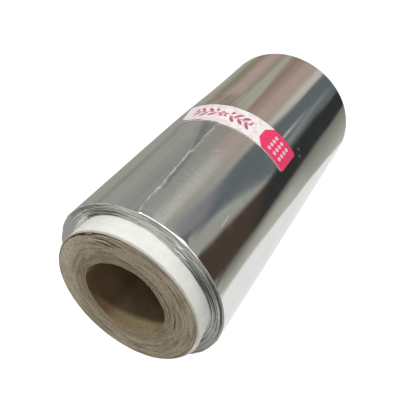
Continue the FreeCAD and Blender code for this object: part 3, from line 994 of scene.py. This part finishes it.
def scratch_mask(tree, round_mm, down_mm):
    """A mask for the short bright scratches."""
    total = 0.0
    for start_turn, start_drop, stop_turn, stop_drop in NICKS:
        slope = (round_place(stop_turn) - round_place(start_turn)) / (stop_drop - start_drop)
        middle = maths(tree, "MULTIPLY_ADD", down_mm, slope, round_place(start_turn) - slope * start_drop)
        nick = bell_mask(tree, maths(tree, "SUBTRACT", round_mm, middle), 0.16)
        nick = maths(tree, "MULTIPLY", nick, between(tree, down_mm, start_drop, stop_drop, 0.6))
        total = maths(tree, "MAXIMUM", share_of(tree, nick, 0.55), total)
    return total


def make_foil_material():
    """Bright rolled aluminium: fine lines round the roll, scratches, creases, darker patches of painted shade
    on the wall, a torn free edge that is rough and painted pale as a highlight, an end face dulled and
    darkened by turn with painted shade, and gaps between its turns that are grooved and painted dark as shade."""
    material, tree = new_material("foil")
    wall_map = add_node(tree, "ShaderNodeUVMap", uv_map="wall").outputs[0]
    round_mm, down_mm = add_node(tree, "ShaderNodeSeparateXYZ", {0: wall_map}).outputs[:2]
    lines = grain(tree, Up=4200.0, Round=3.0)
    broad = grain(tree, Up=130.0, Round=2.0, Shift=7.0)
    milk = noise(tree, object_place(tree), 45.0, 3.0)
    inputs = {0: wall_map, 1: (0.15, 3.6, 0.0)}
    stretched = add_node(tree, "ShaderNodeVectorMath", inputs, operation="MULTIPLY").outputs[0]
    scratches = ease(tree, noise(tree, stretched, 1.0, 2.0), 0.53, 0.72)
    scratched = between(tree, round_mm, round_place(-27), round_place(-6), 4.0)
    scratched = maths(tree, "MULTIPLY", scratched, between(tree, down_mm, 1, 34, 6.0))
    scratches = maths(tree, "MULTIPLY", scratches, maths(tree, "MULTIPLY_ADD", scratched, 0.8, 0.2))
    gaps = grain(tree, Across=3100.0, Round=1.1, Detail=2.0, Shift=3.0)
    loose = shade(tree, "loose")
    open_from = maths(tree, "MULTIPLY_ADD", loose, -0.26, 0.66)
    # Painted shade in the gaps between the turns on the end face
    gap = ease(tree, maths(tree, "SUBTRACT", gaps, open_from), 0.0, 0.10)
    gap = maths(tree, "MULTIPLY", gap, ease(tree, loose, 0.0, 0.2))
    edge = maths(tree, "MAXIMUM", shade(tree, "edge"), scratch_mask(tree, round_mm, down_mm))
    edge = maths(tree, "MAXIMUM", edge, share_of(tree, scratches, 0.20))
    dull = shade(tree, "dull")
    colour = mix_colour(tree, ease(tree, broad, 0.3, 0.7), tuple(FOIL_TINT) + (1.0,), (0.86, 0.86, 0.85, 1.0))
    # Painted shade and dark reflection in the wall's darker patches
    colour = coat(tree, colour, dull, 0.6, (0.42, 0.44, 0.43, 1.0))
    # The end face is a duller grey where its cut edges show, and darker by turn with painted shade
    colour = mix_colour(tree, shade(tree, "dusky"), colour, (0.52, 0.52, 0.50, 1.0))
    colour = coat(tree, colour, gap, 0.88, (0.08, 0.08, 0.07, 1.0))
    # Painted highlight: the free edge and part of the rim are painted near white, rougher and less metallic;
    # the scratches are paler marks of their own
    colour = mix_colour(tree, edge, colour, (0.97, 0.97, 0.96, 1.0))
    milky = {"Value": milk, "From Min": 0.3, "From Max": 0.7, "To Min": 0.07, "To Max": 0.12}
    roughness = add_node(tree, "ShaderNodeMapRange", milky).outputs[0]
    roughness = maths(tree, "MULTIPLY_ADD", scratches, 0.12, roughness)
    roughness = maths(tree, "MULTIPLY_ADD", edge, 0.28, roughness)
    height = maths(tree, "MULTIPLY_ADD", lines, 0.004, crease_height(tree, round_mm, down_mm))
    height = maths(tree, "MULTIPLY_ADD", scratches, -0.010, height)
    height = maths(tree, "MULTIPLY_ADD", maths(tree, "MULTIPLY", gaps, loose), -0.06, height)
    normal = relief(tree, height, 1.0, MM)
    bare = maths(tree, "MULTIPLY_ADD", edge, -0.8, 1.0)
    finish_material(tree, Base_Color=colour, Metallic=bare, Roughness=roughness, Normal=normal)
    return material


foil_winding = make_piece(
    "foil_winding",
    foil_points,
    foil_faces,
    make_foil_material(),
    edge=foil_edge,
    loose=foil_loose,
    dusky=foil_dusky,
    dull=foil_dull,
)
make_foil_map(foil_winding.data)
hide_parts("foil_web")
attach(foil_winding, "root")


# The seal is a strip of coated label paper glued round the outer turn, over the free edge. It is printed
# with pale blotches, a sprig of leaves with a blossom, and a pink tab with dots, and its cut edge is white.
label_low, label_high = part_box("seal_label")
SEAL_WIDTH = label_high.z - label_low.z
SEAL_MIDDLE = (label_high.z + label_low.z) / 2
SEAL_LENGTH = 46.0 * MM
SEAL_END_TURN = np.radians(24.3)
SEAL_SLANT = 1.7 * MM
SEAL_CORNER = 1.2 * MM
SEAL_THICKNESS = 0.12 * MM
SEAL_STEPS = (201, 41)
# The print's sizes, in mm, and places in mm from the strip's right end or from the blossom's middle
PRINT_MIDDLE = 30.3
LEAF_PITCH = 3.0
LEAF_TILT = np.radians(52)
LEAF_LONG, LEAF_WIDE = 1.75, 0.68
LEAF_FROM_STEM = 1.75
LEAVES_FROM, LEAVES_TO = 2.6, 11.4
PETAL_REACH = 2.1
TAB_LENGTH = 14.4
DOTS_FROM = 2.5
DOT_ROWS = 3
DOT_PITCH = (2.7, 2.2)

along = np.linspace(-1, 1, SEAL_STEPS[0])[:, None]
across = np.linspace(-1, 1, SEAL_STEPS[1])[None, :]
half_width = SEAL_WIDTH / 2
beyond = np.clip(np.abs(across) * half_width - (half_width - SEAL_CORNER), 0, None)
inset = SEAL_CORNER - np.sqrt(SEAL_CORNER**2 - beyond**2)
seal_along = along * (SEAL_LENGTH / 2 - inset) + SEAL_SLANT * across * (1 - along) / 2
seal_across = across * half_width + 0 * along
seal_turn = SEAL_END_TURN - (SEAL_LENGTH / 2 - seal_along) / WEB_RADIUS
seal_drop = RIM - SEAL_MIDDLE - seal_across
seal_past = seal_turn - seam_turn(RIM - SEAL_MIDDLE)
whole_past = seal_past % (2 * np.pi)
under = web_radius(whole_past) + evened_step(whole_past, seal_drop)
edge_lift = 0.05 * MM * np.abs(across) ** 6 * (1 + ripple(seal_turn, 0.0, 95, 30, MM))
end_lift = 0.10 * MM * smooth(np.abs(along), 0.93, 1)
over_free_edge = 0.05 * MM * bell(seal_past * WEB_RADIUS, 0, 0.8 * MM)
seal_relief = 0.010 * MM * ripple(seal_turn, seal_drop, 96, 40, 9 * MM) + over_free_edge
seal_relief = seal_relief + swell(seal_turn, seal_drop)
seal_radius = under + 0.06 * MM + edge_lift + end_lift + seal_relief
seal_points = around(seal_turn, seal_radius, SEAL_MIDDLE + seal_across)
seal_faces = grid_faces(*SEAL_STEPS, False, False)


def ellipse(tree, x, y, tilt, half_long, half_wide):
    """A filled ellipse round 0, 0 whose long axis is tilted from x."""
    x_turned = maths(tree, "MULTIPLY_ADD", x, np.cos(tilt), maths(tree, "MULTIPLY", y, np.sin(tilt)))
    y_turned = maths(tree, "MULTIPLY_ADD", y, np.cos(tilt), maths(tree, "MULTIPLY", x, -np.sin(tilt)))
    long_share = maths(tree, "DIVIDE", x_turned, half_long)
    wide_share = maths(tree, "DIVIDE", y_turned, half_wide)
    long_square, wide_square = (maths(tree, "MULTIPLY", share, share) for share in (long_share, wide_share))
    return ease(tree, maths(tree, "ADD", long_square, wide_square), 1.2, 0.8)


def repeated(tree, value, start, pitch):
    """A value's distance from the middle of the cell it is in, for cells of a pitch from start on."""
    cells = maths(tree, "DIVIDE", maths(tree, "SUBTRACT", value, start), pitch)
    return share_of(tree, maths(tree, "SUBTRACT", maths(tree, "FRACT", cells), 0.5), pitch)


def make_sprig(tree, from_middle, side):
    """A stem with leaves on both sides, which lean away from the blossom in its middle."""
    outwards = maths(tree, "ABSOLUTE", from_middle)
    wave = share_of(tree, maths(tree, "SINE", share_of(tree, from_middle, 2 * np.pi / (2 * LEAF_PITCH))), 0.3)
    from_stem = maths(tree, "SUBTRACT", side, wave)
    stem = ease(tree, maths(tree, "ABSOLUTE", from_stem), 0.32, 0.16)
    leaves = stem
    for leaning, start in ((1, LEAVES_FROM), (-1, LEAVES_FROM - LEAF_PITCH / 2)):
        place = repeated(tree, outwards, start, LEAF_PITCH)
        off_stem = maths(tree, "SUBTRACT", from_stem, leaning * LEAF_FROM_STEM)
        leaf = ellipse(tree, place, off_stem, leaning * LEAF_TILT, LEAF_LONG, LEAF_WIDE)
        leaves = maths(tree, "MAXIMUM", leaves, leaf)
    return maths(tree, "MULTIPLY", leaves, between(tree, outwards, LEAVES_FROM, LEAVES_TO, 0.1))


def make_blossom(tree, from_middle, side):
    """Five petals round a pale eye."""
    angle = maths(tree, "ARCTAN2", side, from_middle)
    reach = from_centre(tree, from_middle, side)
    lobes = maths(tree, "COSINE", share_of(tree, angle, 5.0))
    outline = maths(tree, "MULTIPLY_ADD", lobes, 0.26 * PETAL_REACH, 0.78 * PETAL_REACH)
    petals = ease(tree, maths(tree, "SUBTRACT", reach, outline), 0.12, -0.12)
    return maths(tree, "MULTIPLY", petals, ease(tree, reach, 0.45, 0.65))


def make_seal_material():
    """Coated paper with the print: distances are in mm along the strip from its right end, and across it."""
    material, tree = new_material("label_paper")
    printed = add_node(tree, "ShaderNodeUVMap", uv_map="print").outputs[0]
    from_end, side = add_node(tree, "ShaderNodeSeparateXYZ", {0: printed}).outputs[:2]
    pink_blotches = ease(tree, noise(tree, printed, 0.32, 1.0), 0.50, 0.64)
    colour = mix_colour(tree, pink_blotches, linear(254, 249, 246), linear(252, 226, 229))
    lilac_blotches = ease(tree, noise(tree, printed, 0.26, 1.0, Distortion=0.6), 0.57, 0.68)
    colour = mix_colour(tree, lilac_blotches, colour, linear(242, 224, 236))

    from_middle = maths(tree, "SUBTRACT", from_end, PRINT_MIDDLE)
    colour = coat(tree, colour, make_sprig(tree, from_middle, side), 0.88, linear(182, 58, 92))
    colour = coat(tree, colour, make_blossom(tree, from_middle, side), 0.9, linear(222, 84, 120))

    corner = maths(tree, "MAXIMUM", maths(tree, "SUBTRACT", maths(tree, "ABSOLUTE", side), 2.6), 0.0)
    tab_end = maths(tree, "MULTIPLY_ADD", corner, -0.75, TAB_LENGTH)
    tab = ease(tree, maths(tree, "SUBTRACT", tab_end, from_end), -0.1, 0.1)
    dot_along = repeated(tree, from_end, DOTS_FROM, DOT_PITCH[0])
    dots = ellipse(tree, dot_along, repeated(tree, side, 0.0, DOT_PITCH[1]), 0.0, 0.78, 0.78)
    dotted = between(tree, from_end, DOTS_FROM, DOTS_FROM + DOT_ROWS * DOT_PITCH[0], 0.05)
    dotted = maths(tree, "MULTIPLY", dotted, between(tree, side, -2 * DOT_PITCH[1], 2 * DOT_PITCH[1], 0.05))
    dots = share_of(tree, maths(tree, "MULTIPLY", dots, dotted), 0.85)
    tab_colour = mix_colour(tree, dots, linear(251, 62, 112), linear(253, 222, 230))
    colour = mix_colour(tree, tab, colour, tab_colour)

    normal = relief(tree, noise(tree, printed, 5.0, 3.0), 0.12, 0.05 * MM)
    finish_material(tree, Base_Color=colour, Roughness=0.42, Specular_IOR_Level=0.4, Normal=normal)
    return material


paper_seal = make_piece("paper_seal", seal_points, seal_faces, make_seal_material())
print_places = np.stack([(SEAL_LENGTH / 2 - seal_along) / MM, seal_across / MM], axis=-1).reshape(-1, 2)
print_map = paper_seal.data.uv_layers.new(name="print")
print_map.data.foreach_set("uv", print_places[seal_faces.ravel()].astype(np.float32).ravel())
cut_edge, tree = new_material("label_cut_edge")
finish_material(tree, Base_Color=linear(244, 240, 238), Roughness=0.8)
paper_seal.data.materials.append(cut_edge)
paper = paper_seal.modifiers.new("paper", "SOLIDIFY")
paper.thickness = SEAL_THICKNESS
paper.offset = 1.0
paper.material_offset_rim = 1
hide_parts("seal_label")
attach(paper_seal, "root")
